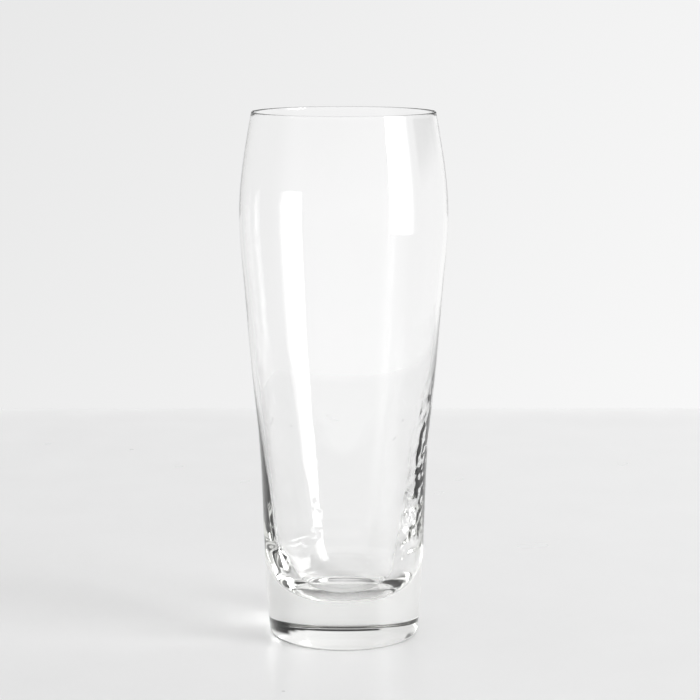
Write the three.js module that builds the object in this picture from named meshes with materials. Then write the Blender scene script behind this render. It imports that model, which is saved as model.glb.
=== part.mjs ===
// A clear, heavy-based beer tumbler: a thick foot, a blown bowl that swells to a belly,
// and a thin fire-polished lip. Millimetres, +Z up, the glass standing on z = 0.
// The three worked zones of the glass are separate solids that meet on flat rings.

import * as THREE from 'three';

// Outside of the glass, from the table to the lip
const HEIGHT = 190;
const FOOT_DIAMETER = 54.2;
const CONE_DIAMETER = 63.4;
const CONE_HEIGHT = 82;
const BELLY_DIAMETER = 74.7;
const BELLY_BELOW_LIP = 37;
const FLANK_INSET = 1.9;
const FLANK_BELOW_BELLY = 28;
const LIP_DIAMETER = 65.6;

// How fast the outside radius grows with height at each of those places
const FOOT_FLARE = 0.11;
const CONE_FLARE = 0.11;
const FLANK_FLARE = 0.076;
const BELLY_FLARE = 0;
const LIP_FLARE = -0.18;

// Thickness of the wall at the top of the base, at the belly and at the lip
const BASE_WALL = 9.1;
const BELLY_WALL = 1.4;
const LIP_WALL = 0.8;

// The heavy base, the round of the drink space in it and the dished underside
const BASE_HEIGHT = 31;
const CUP_FLOOR_HEIGHT = 13.7;
const CUP_SIDE_FULLNESS = 0.55;
const CUP_FLOOR_FULLNESS = 0.9;
const FOOT_CORNER_RADIUS = 1;
const STANDING_RING_WIDTH = 2.5;
const PUNT_DEPTH = 1.5;

// The last stretch of the wall, which ends in a half-round edge
const LIP_HEIGHT = 3;

// Fineness of the turned solids
const TURN_STEPS = 72;
const BASE_SIDE_STEPS = 6;
const CORNER_STEPS = 4;
const PUNT_STEPS = 6;
const CUP_STEPS = 10;
const BOWL_STEPS = 18;
const LIP_SIDE_STEPS = 2;
const LIP_ROUND_STEPS = 8;

const GLASS_COLOUR = 0xeef2f1;
const GLASS_ROUGHNESS = 0.03;

const bellyHeight = HEIGHT - BELLY_BELOW_LIP;
const lipSeamHeight = HEIGHT - LIP_HEIGHT;
const lipRoundRadius = LIP_WALL / 2;
const lipRoundHeight = HEIGHT - lipRoundRadius;

// Places along the outside, each with its radius and its flare
const outsideStations = [
  { height: 0, radius: FOOT_DIAMETER / 2, flare: FOOT_FLARE },
  { height: CONE_HEIGHT, radius: CONE_DIAMETER / 2, flare: CONE_FLARE },
  {
    height: bellyHeight - FLANK_BELOW_BELLY,
    radius: BELLY_DIAMETER / 2 - FLANK_INSET,
    flare: FLANK_FLARE,
  },
  { height: bellyHeight, radius: BELLY_DIAMETER / 2, flare: BELLY_FLARE },
  { height: HEIGHT, radius: LIP_DIAMETER / 2, flare: LIP_FLARE },
];

// One smooth stretch between two stations. Its handles stand a third of the rise from each
// end, so the curve's parameter runs evenly with height.
function stretchBetween(lower, upper) {
  const third = (upper.height - lower.height) / 3;
  return new THREE.CubicBezierCurve(
    new THREE.Vector2(lower.radius, lower.height),
    new THREE.Vector2(lower.radius + lower.flare * third, lower.height + third),
    new THREE.Vector2(upper.radius - upper.flare * third, upper.height - third),
    new THREE.Vector2(upper.radius, upper.height),
  );
}

function outsideRadius(height) {
  const above = outsideStations.findIndex((station, i) => i > 0 && height <= station.height);
  const lower = outsideStations[above - 1];
  const upper = outsideStations[above];
  const along = (height - lower.height) / (upper.height - lower.height);
  return stretchBetween(lower, upper).getPoint(along).x;
}

// The wall thins quickly above the base, then slowly from the belly to the lip.
function wallThickness(height) {
  if (height > bellyHeight) {
    const along = (height - bellyHeight) / (HEIGHT - bellyHeight);
    return THREE.MathUtils.lerp(BELLY_WALL, LIP_WALL, along);
  }
  const left = (bellyHeight - height) / (bellyHeight - BASE_HEIGHT);
  return BELLY_WALL + (BASE_WALL - BELLY_WALL) * left ** 3;
}

function insideRadius(height) {
  return outsideRadius(height) - wallThickness(height);
}

// Points of a wall between two heights, both ends included
function wallPoints(radiusAt, fromHeight, toHeight, steps) {
  const points = [];
  for (let i = 0; i <= steps; i += 1) {
    const height = THREE.MathUtils.lerp(fromHeight, toHeight, i / steps);
    points.push(new THREE.Vector2(radiusAt(height), height));
  }
  return points;
}

// The dished underside, as an arc from the axis out to the standing ring
function puntPoints(ringInnerRadius) {
  const domeRadius = (ringInnerRadius ** 2 + PUNT_DEPTH ** 2) / (2 * PUNT_DEPTH);
  const halfAngle = Math.asin(ringInnerRadius / domeRadius);
  const points = [];
  for (let i = 0; i <= PUNT_STEPS; i += 1) {
    const angle = (halfAngle * i) / PUNT_STEPS;
    const height = PUNT_DEPTH - domeRadius * (1 - Math.cos(angle));
    points.push(new THREE.Vector2(domeRadius * Math.sin(angle), height));
  }
  points[PUNT_STEPS].set(ringInnerRadius, 0);
  return points;
}

// The rounded bottom edge, from the standing ring up to the side
function cornerPoints(ringOuterRadius) {
  const side = new THREE.Vector2(outsideRadius(FOOT_CORNER_RADIUS), FOOT_CORNER_RADIUS);
  const edge = new THREE.QuadraticBezierCurve(
    new THREE.Vector2(ringOuterRadius, 0),
    new THREE.Vector2(outsideRadius(0), 0),
    side,
  );
  return edge.getPoints(CORNER_STEPS);
}

// The round of the drink space, from the top of the base down to the axis
function cupPoints() {
  const rimRadius = insideRadius(BASE_HEIGHT);
  const sideDrop = CUP_SIDE_FULLNESS * (BASE_HEIGHT - CUP_FLOOR_HEIGHT);
  const aboveRim = insideRadius(BASE_HEIGHT + sideDrop);
  const round = new THREE.CubicBezierCurve(
    new THREE.Vector2(rimRadius, BASE_HEIGHT),
    new THREE.Vector2(2 * rimRadius - aboveRim, BASE_HEIGHT - sideDrop),
    new THREE.Vector2(CUP_FLOOR_FULLNESS * rimRadius, CUP_FLOOR_HEIGHT),
    new THREE.Vector2(0, CUP_FLOOR_HEIGHT),
  );
  return round.getPoints(CUP_STEPS);
}

function baseProfile() {
  const ringOuterRadius = FOOT_DIAMETER / 2 - FOOT_CORNER_RADIUS;
  return [
    ...puntPoints(ringOuterRadius - STANDING_RING_WIDTH),
    ...cornerPoints(ringOuterRadius),
    ...wallPoints(outsideRadius, FOOT_CORNER_RADIUS, BASE_HEIGHT, BASE_SIDE_STEPS).slice(1),
    ...cupPoints(),
  ];
}

function bowlProfile() {
  const outside = wallPoints(outsideRadius, BASE_HEIGHT, lipSeamHeight, BOWL_STEPS);
  const inside = wallPoints(insideRadius, lipSeamHeight, BASE_HEIGHT, BOWL_STEPS);
  return [...outside, ...inside, outside[0].clone()];
}

function lipProfile() {
  const outside = wallPoints(outsideRadius, lipSeamHeight, lipRoundHeight, LIP_SIDE_STEPS);
  const inside = wallPoints(insideRadius, lipRoundHeight, lipSeamHeight, LIP_SIDE_STEPS);
  const outerEdge = outside[LIP_SIDE_STEPS].x;
  const innerEdge = inside[0].x;
  const middle = (outerEdge + innerEdge) / 2;
  const round = [];
  for (let i = 1; i < LIP_ROUND_STEPS; i += 1) {
    const angle = (Math.PI * i) / LIP_ROUND_STEPS;
    const radius = middle + ((outerEdge - innerEdge) / 2) * Math.cos(angle);
    round.push(new THREE.Vector2(radius, lipRoundHeight + lipRoundRadius * Math.sin(angle)));
  }
  return [...outside, ...round, ...inside, outside[0].clone()];
}

// A zone of the glass, turned about the upright axis
function turnedZone(name, profile) {
  const geometry = new THREE.LatheGeometry(profile, TURN_STEPS);
  geometry.rotateX(Math.PI / 2);
  const material = new THREE.MeshStandardMaterial({
    color: GLASS_COLOUR,
    roughness: GLASS_ROUGHNESS,
    metalness: 0,
  });
  const zone = new THREE.Mesh(geometry, material);
  zone.name = name;
  return zone;
}

const tumbler = new THREE.Group();
tumbler.name = 'tumbler';
tumbler.add(turnedZone('base', baseProfile()));
tumbler.add(turnedZone('bowl', bowlProfile()));
tumbler.add(turnedZone('lip', lipProfile()));

export default tumbler;
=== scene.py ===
# A clear, heavy-based beer tumbler on a pale table top, in soft light from the right.
# Metres, +Z up. The glass stands on z = 0 and the camera looks along +Y.

import math

import bpy
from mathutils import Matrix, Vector


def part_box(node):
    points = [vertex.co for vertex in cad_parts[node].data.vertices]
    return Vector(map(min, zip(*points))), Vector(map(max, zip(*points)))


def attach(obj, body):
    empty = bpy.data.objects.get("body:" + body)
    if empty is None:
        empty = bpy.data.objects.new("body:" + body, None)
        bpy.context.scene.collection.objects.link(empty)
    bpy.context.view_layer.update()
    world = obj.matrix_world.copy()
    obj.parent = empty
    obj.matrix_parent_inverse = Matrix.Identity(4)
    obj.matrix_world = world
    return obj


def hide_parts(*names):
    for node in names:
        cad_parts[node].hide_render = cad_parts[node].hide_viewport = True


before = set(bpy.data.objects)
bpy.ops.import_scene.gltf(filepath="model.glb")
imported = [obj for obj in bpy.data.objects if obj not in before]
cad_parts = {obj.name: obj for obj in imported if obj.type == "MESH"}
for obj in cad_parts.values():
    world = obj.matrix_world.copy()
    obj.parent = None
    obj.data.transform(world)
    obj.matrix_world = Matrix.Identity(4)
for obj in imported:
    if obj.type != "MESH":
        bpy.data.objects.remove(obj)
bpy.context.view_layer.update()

# Sizes that the solids give
BASE_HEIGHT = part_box("base")[1].z
BELLY_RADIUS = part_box("bowl")[1].x
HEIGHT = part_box("lip")[1].z

# The outside of the glass between the foot and the lip
FOOT_RADIUS = 0.0271
CONE_RADIUS = 0.0317
CONE_HEIGHT = 0.082
BELLY_BELOW_LIP = 0.037
FLANK_INSET = 0.0019
FLANK_BELOW_BELLY = 0.028
LIP_RADIUS = 0.0328

# How fast the outside radius grows with height at each of those places
FOOT_FLARE = 0.11
CONE_FLARE = 0.11
FLANK_FLARE = 0.076
BELLY_FLARE = 0.0
LIP_FLARE = -0.18

# Wall thickness at the top of the base, at the belly and at the lip
BASE_WALL = 0.0091
BELLY_WALL = 0.0014
LIP_WALL = 0.0008

# The round of the drink space in the base, and the dished underside
CUP_FLOOR_HEIGHT = 0.0137
CUP_SIDE_FULLNESS = 0.55
CUP_FLOOR_FULLNESS = 0.90
FOOT_CORNER_RADIUS = 0.001
STANDING_RING_WIDTH = 0.0025
PUNT_DEPTH = 0.0015

# Fineness of the outline and of the turn
TURN_STEPS = 288
PUNT_STEPS = 12
CORNER_STEPS = 6
OUTSIDE_STEPS = 50
LIP_STEPS = 10
INSIDE_STEPS = 180
INSIDE_GATHER = 0.6
CUP_STEPS = 28
WELD_DISTANCE = 0.000001

# Unevenness that working the hot glass left inside the lower wall: ripples on the right, a thinner left.
# Each zone has a start, a full stretch from and to, and an end, in metres of height and in degrees of
# heading to the right of the camera's side.
RIPPLE_HEIGHTS = (0.022, 0.032, 0.070, 0.100)
RIPPLE_HEADINGS = (50, 64, 90, 102)
RIPPLE_LENGTH = 0.005
RIPPLE_DEPTH = 0.0006
THIN_HEIGHTS = (0.024, 0.036, 0.050, 0.120)
THIN_HEADINGS = (-130, -97, -68, -40)
THIN_DEPTH = 0.0018

# Clear glass: how it bends light, its trace of colour, and the polish and draw lines of its surface
GLASS_BENDING = 1.5
GLASS_TINT = (0.82, 0.85, 0.70, 1.0)
GLASS_TINT_STRENGTH = 1.5
POLISH_SCALE = 60.0
POLISH_ROUGHNESS = 0.012
DRAW_LINE_SCALE = 220.0
DRAW_LINE_STRETCH = (1.0, 1.0, 0.08)
DRAW_LINE_STRENGTH = 0.1
DRAW_LINE_DEPTH = 0.00002

# The part of a noise pattern's range, 0 to 1, that most of it lies in
NOISE_LOW = 0.3
NOISE_HIGH = 0.7

# Camera
CAMERA_DISTANCE = 0.762
CAMERA_HEIGHT = 0.232
CAMERA_PITCH = math.radians(9.52)
CAMERA_PAN = math.radians(0.169)
FOCAL_LENGTH = 110.1
SENSOR_WIDTH = 36.0

# Table top, from its front edge to its back edge, with painted light: darker at the front, lighter towards
# the back and lighter still along its back edge
TABLE_BACK_EDGE = 0.4225
TABLE_FRONT_EDGE = -0.13
TABLE_HALF_WIDTH = 0.40
TABLE_GAP = 0.0002
TABLE_PAINTED_TONE_NEAR = 0.77
TABLE_PAINTED_TONE_FAR = 0.93
TABLE_EDGE_WIDTH = 0.032
TABLE_EDGE_PAINTED_LIGHT = 0.045
TABLE_GRAIN_SCALE = 30.0
TABLE_FLECK = 0.02
TABLE_LEAST_ROUGHNESS = 0.24
TABLE_MOST_ROUGHNESS = 0.36

# Painted light on the pale wall behind: it brightens from left to right over the spread, and painted shade
# drops it over the rise up to eye level.
# Spread and rise are parts of a unit of direction. Ambient is the plain light on the table.
WALL_LEFT = 0.807
WALL_RIGHT = 0.975
WALL_SPREAD = 0.3
WALL_RISE = 0.19
WALL_PAINTED_TOP_SHADE = 0.035
AMBIENT = 0.79

# Painted reflections round the glass, soft panels that only mirrored and bent rays see: left and right
# heading, low and high elevation, softness, brightness.
# Headings are degrees to the right, from the camera's side in front and from the wall behind.
PAINTED_REFLECTIONS_IN_FRONT = (
    (-75, 75, -60, 12, 18, 1.3),
    (-130, 50, 24, 52, 3, 0.02),
    (88, 135, 34, 50, 4, 0.03),
)
PAINTED_REFLECTIONS_BEHIND = (
    (-19, 40, 4, 10, 1.5, 0.02),
    (35, 85, 4, 22, 3, 0.01),
    (28, 50, 4, 16, 3, 0.01),
    (21, 40, 4, 12, 2, 0.01),
)

# The soft light on the right. Its cloth fades over a part of its width, towards the edge at the back.
SOFTBOX_HEADING = math.radians(69)
SOFTBOX_DISTANCE = 1.6
SOFTBOX_WIDTH = 1.0
SOFTBOX_HEIGHT = 1.6
SOFTBOX_LOW_EDGE = -0.10
SOFTBOX_RADIANCE = 7.3
SOFTBOX_FADE = 0.6

# How often light is followed from surface to surface: in all, in the glass, and on the table
LIGHT_BOUNCES = 12
GLASS_BOUNCES = 32
TABLE_BOUNCES = 4

belly_height = HEIGHT - BELLY_BELOW_LIP
lip_round_radius = LIP_WALL / 2
lip_round_height = HEIGHT - lip_round_radius

# Places along the outside: height, radius, flare
OUTSIDE_STATIONS = (
    (0.0, FOOT_RADIUS, FOOT_FLARE),
    (CONE_HEIGHT, CONE_RADIUS, CONE_FLARE),
    (belly_height - FLANK_BELOW_BELLY, BELLY_RADIUS - FLANK_INSET, FLANK_FLARE),
    (belly_height, BELLY_RADIUS, BELLY_FLARE),
    (HEIGHT, LIP_RADIUS, LIP_FLARE),
)


def blend(start, end, along):
    return start + (end - start) * along


def smooth_rise(start, end, value):
    """0 up to start, 1 from end on, with an eased rise between them."""
    along = min(max((value - start) / (end - start), 0.0), 1.0)
    return along * along * (3.0 - 2.0 * along)


def bezier(points, along):
    """A point of the Bezier curve that has these control points."""
    while len(points) > 1:
        points = [a.lerp(b, along) for a, b in zip(points, points[1:])]
    return points[0]


def outside_radius(height):
    pairs = list(zip(OUTSIDE_STATIONS, OUTSIDE_STATIONS[1:]))
    lower, upper = next((p for p in pairs if height <= p[1][0]), pairs[-1])
    third = (upper[0] - lower[0]) / 3
    handles = [
        Vector((lower[1], lower[0])),
        Vector((lower[1] + lower[2] * third, lower[0] + third)),
        Vector((upper[1] - upper[2] * third, upper[0] - third)),
        Vector((upper[1], upper[0])),
    ]
    return bezier(handles, (height - lower[0]) / (upper[0] - lower[0])).x


def wall_thickness(height):
    if height > belly_height:
        return blend(BELLY_WALL, LIP_WALL, (height - belly_height) / (HEIGHT - belly_height))
    left = (belly_height - height) / (belly_height - BASE_HEIGHT)
    return BELLY_WALL + (BASE_WALL - BELLY_WALL) * left**3


def inside_radius(height):
    return outside_radius(height) - wall_thickness(height)


def wall_line(radius_at, start, end, steps, gather=0.0):
    """Points up or down a wall, the first one left out, gathered towards its end."""
    line = []
    for i in range(1, steps + 1):
        along = i / steps
        height = blend(start, end, along + gather * along * (1.0 - along))
        line.append(Vector((radius_at(height), height)))
    return line


def punt_line(ring_inner_radius):
    """The dished underside, from the axis out to the standing ring."""
    dome_radius = (ring_inner_radius**2 + PUNT_DEPTH**2) / (2 * PUNT_DEPTH)
    half_angle = math.asin(ring_inner_radius / dome_radius)
    line = []
    for i in range(PUNT_STEPS + 1):
        angle = half_angle * i / PUNT_STEPS
        height = PUNT_DEPTH - dome_radius * (1 - math.cos(angle))
        line.append(Vector((dome_radius * math.sin(angle), height)))
    return line


def corner_line(ring_outer_radius):
    """The rounded bottom edge, from the standing ring up to the side."""
    handles = [
        Vector((ring_outer_radius, 0.0)),
        Vector((FOOT_RADIUS, 0.0)),
        Vector((outside_radius(FOOT_CORNER_RADIUS), FOOT_CORNER_RADIUS)),
    ]
    return [bezier(handles, i / CORNER_STEPS) for i in range(CORNER_STEPS + 1)]


def lip_line():
    """The half-round edge, from the outside of the wall over to the inside."""
    outer = outside_radius(lip_round_height)
    inner = inside_radius(lip_round_height)
    line = []
    for i in range(1, LIP_STEPS + 1):
        angle = math.pi * i / LIP_STEPS
        radius = (outer + inner) / 2 + (outer - inner) / 2 * math.cos(angle)
        line.append(Vector((radius, lip_round_height + lip_round_radius * math.sin(angle))))
    return line


def cup_line():
    """The round of the drink space, from the top of the base down to the axis."""
    rim_radius = inside_radius(BASE_HEIGHT)
    side_drop = CUP_SIDE_FULLNESS * (BASE_HEIGHT - CUP_FLOOR_HEIGHT)
    above_rim = inside_radius(BASE_HEIGHT + side_drop)
    handles = [
        Vector((rim_radius, BASE_HEIGHT)),
        Vector((2 * rim_radius - above_rim, BASE_HEIGHT - side_drop)),
        Vector((CUP_FLOOR_FULLNESS * rim_radius, CUP_FLOOR_HEIGHT)),
        Vector((0.0, CUP_FLOOR_HEIGHT)),
    ]
    return [bezier(handles, i / CUP_STEPS) for i in range(1, CUP_STEPS + 1)]


def glass_outline():
    """Half the section of the glass, from the middle of the underside to the middle of the cup."""
    ring_outer_radius = FOOT_RADIUS - FOOT_CORNER_RADIUS
    return [
        *punt_line(ring_outer_radius - STANDING_RING_WIDTH),
        *corner_line(ring_outer_radius),
        *wall_line(outside_radius, FOOT_CORNER_RADIUS, lip_round_height, OUTSIDE_STEPS),
        *lip_line(),
        *wall_line(inside_radius, lip_round_height, BASE_HEIGHT, INSIDE_STEPS, INSIDE_GATHER),
        *cup_line(),
    ]


def turn_glass(name, outline):
    """Draws the outline by extruding one point, and spins it round the upright axis."""
    bpy.ops.object.select_all(action="DESELECT")
    bpy.ops.mesh.primitive_plane_add(size=FOOT_RADIUS)
    glass = bpy.context.object
    glass.name = name
    bpy.ops.object.mode_set(mode="EDIT")
    bpy.ops.mesh.select_all(action="SELECT")
    bpy.ops.mesh.merge(type="CENTER")
    place = Vector((0.0, 0.0))
    for i, point in enumerate(outline):
        step = (point.x - place.x, 0.0, point.y - place.y)
        if i == 0:
            bpy.ops.transform.translate(value=step)
        else:
            bpy.ops.mesh.extrude_vertices_move(TRANSFORM_OT_translate={"value": step})
        place = point
    bpy.ops.mesh.select_all(action="SELECT")
    bpy.ops.mesh.spin(steps=TURN_STEPS, angle=math.tau, center=(0, 0, 0), axis=(0, 0, 1))
    bpy.ops.mesh.select_all(action="SELECT")
    bpy.ops.mesh.remove_doubles(threshold=WELD_DISTANCE)
    bpy.ops.mesh.normals_make_consistent(inside=False)
    bpy.ops.object.mode_set(mode="OBJECT")
    bpy.ops.object.shade_smooth()
    return glass


def plateau(zone, value):
    """1 in the full stretch of a zone, easing to 0 at its start and its end."""
    start, full_from, full_to, end = zone
    return smooth_rise(start, full_from, value) * (1.0 - smooth_rise(full_to, end, value))


def press_wall(glass, heights, headings, depth, texture=None):
    """Moves the inside of the wall by a depth within a zone, evenly or to both sides after a texture."""
    group = glass.vertex_groups.new(name="pressed_wall")
    for vertex in glass.data.vertices:
        height = vertex.co.z
        radius = math.hypot(vertex.co.x, vertex.co.y)
        middle_of_wall = outside_radius(height) - wall_thickness(height) / 2
        heading = math.degrees(math.atan2(vertex.co.x, -vertex.co.y))
        if radius < middle_of_wall:
            group.add([vertex.index], plateau(heights, height) * plateau(headings, heading), "REPLACE")
    press = glass.modifiers.new("press_wall", "DISPLACE")
    press.vertex_group = group.name
    press.strength = depth
    press.mid_level = 0.0
    if texture:
        press.texture = texture
        press.texture_coords = "LOCAL"
        press.mid_level = 0.5
    bpy.ops.object.modifier_apply(modifier=press.name)
    glass.vertex_groups.clear()


def work_wall(glass):
    """Ripples the right of the lower wall and thins its left."""
    ripple = bpy.data.textures.new("wall_ripple", "CLOUDS")
    ripple.noise_scale = RIPPLE_LENGTH
    ripple.noise_depth = 1
    press_wall(glass, RIPPLE_HEIGHTS, RIPPLE_HEADINGS, RIPPLE_DEPTH, ripple)
    press_wall(glass, THIN_HEIGHTS, THIN_HEADINGS, -THIN_DEPTH)


def node_maker(tree):
    """A function that adds a node to this tree, with values or links for its inputs."""

    def add(kind, *inputs, **settings):
        node = tree.nodes.new(kind)
        for key, value in settings.items():
            setattr(node, key, value)
        for socket, value in zip(node.inputs, inputs):
            if isinstance(value, bpy.types.NodeSocket):
                tree.links.new(value, socket)
            elif value is not None:
                socket.default_value = value
        return node

    return add


def clear_glass():
    """Colourless glass with a fire polish, faint draw lines and a trace of olive in the depth."""
    material = bpy.data.materials.new("clear_glass")
    material.use_nodes = True
    tree = material.node_tree
    tree.nodes.clear()
    add = node_maker(tree)
    place = add("ShaderNodeTexCoord").outputs["Object"]
    polish = add("ShaderNodeTexNoise", place)
    polish.inputs["Scale"].default_value = POLISH_SCALE
    roughness = add("ShaderNodeMapRange", polish.outputs["Fac"], NOISE_LOW, NOISE_HIGH, 0.0, POLISH_ROUGHNESS)
    stretched = add("ShaderNodeMapping", place)
    stretched.inputs["Scale"].default_value = DRAW_LINE_STRETCH
    draw_lines = add("ShaderNodeTexNoise", stretched.outputs[0])
    draw_lines.inputs["Scale"].default_value = DRAW_LINE_SCALE
    bump = add("ShaderNodeBump")
    bump.inputs["Strength"].default_value = DRAW_LINE_STRENGTH
    bump.inputs["Distance"].default_value = DRAW_LINE_DEPTH
    tree.links.new(draw_lines.outputs["Fac"], bump.inputs["Height"])
    glass = add("ShaderNodeBsdfPrincipled")
    glass.inputs["Base Color"].default_value = (1.0, 1.0, 1.0, 1.0)
    glass.inputs["Transmission Weight"].default_value = 1.0
    glass.inputs["IOR"].default_value = GLASS_BENDING
    tree.links.new(roughness.outputs["Result"], glass.inputs["Roughness"])
    tree.links.new(bump.outputs["Normal"], glass.inputs["Normal"])
    depth = add("ShaderNodeVolumeAbsorption", GLASS_TINT, GLASS_TINT_STRENGTH)
    output = add("ShaderNodeOutputMaterial")
    tree.links.new(glass.outputs["BSDF"], output.inputs["Surface"])
    tree.links.new(depth.outputs["Volume"], output.inputs["Volume"])
    return material


def table_finish():
    """A pale satin table top with painted light: darker at the front, lighter towards the back and lighter
    still along its back edge.
    """
    material = bpy.data.materials.new("table_finish")
    material.use_nodes = True
    tree = material.node_tree
    tree.nodes.clear()
    add = node_maker(tree)
    place = add("ShaderNodeTexCoord").outputs["Object"]
    along = add("ShaderNodeSeparateXYZ", place).outputs["Y"]
    grain = add("ShaderNodeTexNoise", place)
    grain.inputs["Scale"].default_value = TABLE_GRAIN_SCALE
    speck = grain.outputs["Fac"]
    ends = (TABLE_FRONT_EDGE, TABLE_BACK_EDGE)
    edge = (TABLE_BACK_EDGE - TABLE_EDGE_WIDTH, TABLE_BACK_EDGE)
    # Painted light: the top darkens towards the front and lightens towards the back, and more along its back
    # edge; the flecks are its own grain.
    painted_falloff = add("ShaderNodeMapRange", along, *ends, TABLE_PAINTED_TONE_NEAR, TABLE_PAINTED_TONE_FAR)
    painted_edge_light = add("ShaderNodeMapRange", along, *edge, 0.0, TABLE_EDGE_PAINTED_LIGHT, interpolation_type="SMOOTHSTEP")
    fleck = add("ShaderNodeMapRange", speck, 0.0, 1.0, -TABLE_FLECK, TABLE_FLECK)
    painted_table_light = add("ShaderNodeMath", painted_falloff.outputs["Result"], painted_edge_light.outputs["Result"], operation="ADD")
    colour = add("ShaderNodeMath", painted_table_light.outputs[0], fleck.outputs["Result"], operation="ADD")
    gloss = add("ShaderNodeMapRange", speck, 0.0, 1.0, TABLE_LEAST_ROUGHNESS, TABLE_MOST_ROUGHNESS)
    top = add("ShaderNodeBsdfPrincipled")
    tree.links.new(colour.outputs[0], top.inputs["Base Color"])
    tree.links.new(gloss.outputs["Result"], top.inputs["Roughness"])
    add("ShaderNodeOutputMaterial", top.outputs[0])
    return material


def lay_table():
    bpy.ops.object.select_all(action="DESELECT")
    bpy.ops.mesh.primitive_plane_add(size=2.0)
    table = bpy.context.object
    table.name = "table_top"
    middle = (TABLE_BACK_EDGE + TABLE_FRONT_EDGE) / 2
    depth = (TABLE_BACK_EDGE - TABLE_FRONT_EDGE) / 2
    bpy.ops.object.mode_set(mode="EDIT")
    bpy.ops.mesh.select_all(action="SELECT")
    bpy.ops.transform.resize(value=(TABLE_HALF_WIDTH, depth, 1.0))
    bpy.ops.transform.translate(value=(0.0, middle, -TABLE_GAP))
    bpy.ops.object.mode_set(mode="OBJECT")
    table.data.materials.append(table_finish())


def place_camera():
    camera = bpy.data.objects.new("camera", bpy.data.cameras.new("camera"))
    bpy.context.scene.collection.objects.link(camera)
    camera.data.sensor_width = SENSOR_WIDTH
    camera.data.lens = FOCAL_LENGTH
    camera.location = (0.0, -CAMERA_DISTANCE, CAMERA_HEIGHT)
    camera.rotation_euler = (math.pi / 2 - CAMERA_PITCH, 0.0, -CAMERA_PAN)
    bpy.context.scene.camera = camera


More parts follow.
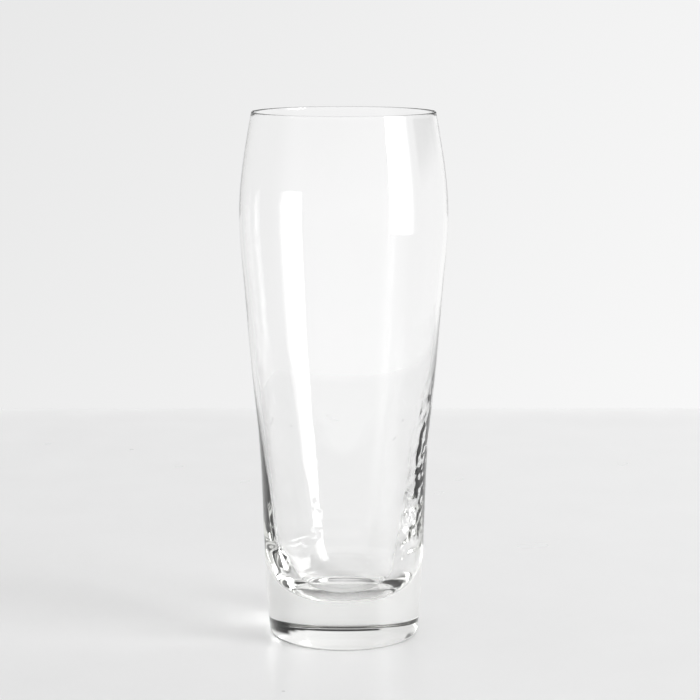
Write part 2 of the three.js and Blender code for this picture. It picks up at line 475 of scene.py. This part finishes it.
def light_room():
    """The room round the table, as the glass mirrors and bends it, with painted reflections of bright and
    dark panels that only mirrored and bent rays see.
    """
    world = bpy.data.worlds.new("room")
    bpy.context.scene.world = world
    world.use_nodes = True
    tree = world.node_tree
    tree.nodes.clear()
    add = node_maker(tree)
    axes = add("ShaderNodeSeparateXYZ", add("ShaderNodeTexCoord").outputs["Generated"])
    right, back, up = axes.outputs

    def calculate(operation, *values):
        return add("ShaderNodeMath", *values, operation=operation).outputs[0]

    def rise(value, start, end, low=0.0, high=1.0):
        eased = add("ShaderNodeMapRange", value, start, end, low, high, interpolation_type="SMOOTHSTEP")
        return eased.outputs["Result"]

    def between(value, low, high, softness):
        enter = rise(value, low - softness, low + softness)
        leave = rise(value, high - softness, high + softness, 1.0, 0.0)
        return calculate("MULTIPLY", enter, leave)

    forward = calculate("MULTIPLY", back, -1.0)
    elevation = calculate("ARCSINE", up)
    heading_from_back = calculate("ARCTAN2", right, back)
    heading_from_front = calculate("ARCTAN2", right, forward)

    def hang(level, heading, panel):
        """Lays one soft-edged panel of painted reflection over the brightness that is already there."""
        left, rightmost, low, high, softness, brightness = panel
        across = between(heading, math.radians(left), math.radians(rightmost), math.radians(softness))
        upward = between(elevation, math.radians(low), math.radians(high), math.radians(softness))
        mix = add("ShaderNodeMix", calculate("MULTIPLY", across, upward))
        tree.links.new(level, mix.inputs["A"])
        mix.inputs["B"].default_value = brightness
        return mix.outputs["Result"]

    # Painted light on the wall: lighter to the right, with painted shade towards eye level.
    wall_painted_side_light = add("ShaderNodeMapRange", right, -WALL_SPREAD, WALL_SPREAD, WALL_LEFT, WALL_RIGHT)
    wall_painted_top_shade = add("ShaderNodeMapRange", up, -WALL_RISE, 0.0, 0.0, WALL_PAINTED_TOP_SHADE)
    wall = calculate("SUBTRACT", wall_painted_side_light.outputs["Result"], wall_painted_top_shade.outputs["Result"])
    level = wall
    # Painted reflections: bright and dark panels over the wall, for mirrored and bent rays only.
    for panel in PAINTED_REFLECTIONS_IN_FRONT:
        level = hang(level, heading_from_front, panel)
    for panel in PAINTED_REFLECTIONS_BEHIND:
        level = hang(level, heading_from_back, panel)
    path = add("ShaderNodeLightPath")
    in_glass = calculate("MAXIMUM", path.outputs["Is Glossy Ray"], path.outputs["Is Transmission Ray"])
    plain = add("ShaderNodeBackground", (AMBIENT, AMBIENT, AMBIENT, 1.0))
    room = add("ShaderNodeBackground", level)
    backdrop = add("ShaderNodeBackground", wall)
    lit = add("ShaderNodeMixShader", in_glass, plain.outputs[0], room.outputs[0])
    shown = add("ShaderNodeMixShader", path.outputs["Is Camera Ray"], lit.outputs[0], backdrop.outputs[0])
    add("ShaderNodeOutputWorld", shown.outputs[0])


def hang_softbox():
    """A tall soft light to the right of the camera, from below the table upwards, that fades to the back."""
    lamp = bpy.data.lights.new("right_softbox", "AREA")
    lamp.shape = "RECTANGLE"
    lamp.size = SOFTBOX_WIDTH
    lamp.size_y = SOFTBOX_HEIGHT
    lamp.energy = SOFTBOX_RADIANCE * math.pi * SOFTBOX_WIDTH * SOFTBOX_HEIGHT
    lamp.use_nodes = True
    tree = lamp.node_tree
    add = node_maker(tree)
    cloth = add("ShaderNodeNewGeometry").outputs["Parametric"]
    cloth_across = add("ShaderNodeSeparateXYZ", cloth).outputs["X"]
    fade = add("ShaderNodeMapRange", cloth_across, 1.0, 1.0 - SOFTBOX_FADE, interpolation_type="SMOOTHSTEP")
    tree.links.new(fade.outputs["Result"], tree.nodes["Emission"].inputs["Strength"])
    softbox = bpy.data.objects.new("right_softbox", lamp)
    bpy.context.scene.collection.objects.link(softbox)
    across = SOFTBOX_DISTANCE * math.sin(SOFTBOX_HEADING)
    toward_camera = SOFTBOX_DISTANCE * math.cos(SOFTBOX_HEADING)
    softbox.location = (across, -toward_camera, SOFTBOX_LOW_EDGE + SOFTBOX_HEIGHT / 2)
    softbox.rotation_euler = (math.pi / 2, 0.0, SOFTBOX_HEADING)


place_camera()
tumbler = turn_glass("tumbler_glass", glass_outline())
work_wall(tumbler)
tumbler.data.materials.append(clear_glass())
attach(tumbler, "root")
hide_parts("base", "bowl", "lip")
lay_table()
light_room()
hang_softbox()

scene = bpy.context.scene
scene.view_settings.view_transform = "Standard"
scene.cycles.max_bounces = LIGHT_BOUNCES
scene.cycles.transmission_bounces = GLASS_BOUNCES
scene.cycles.glossy_bounces = GLASS_BOUNCES
scene.cycles.diffuse_bounces = TABLE_BOUNCES
scene.cycles.caustics_reflective = True
scene.cycles.caustics_refractive = True
scene.cycles.blur_glossy = 0.0
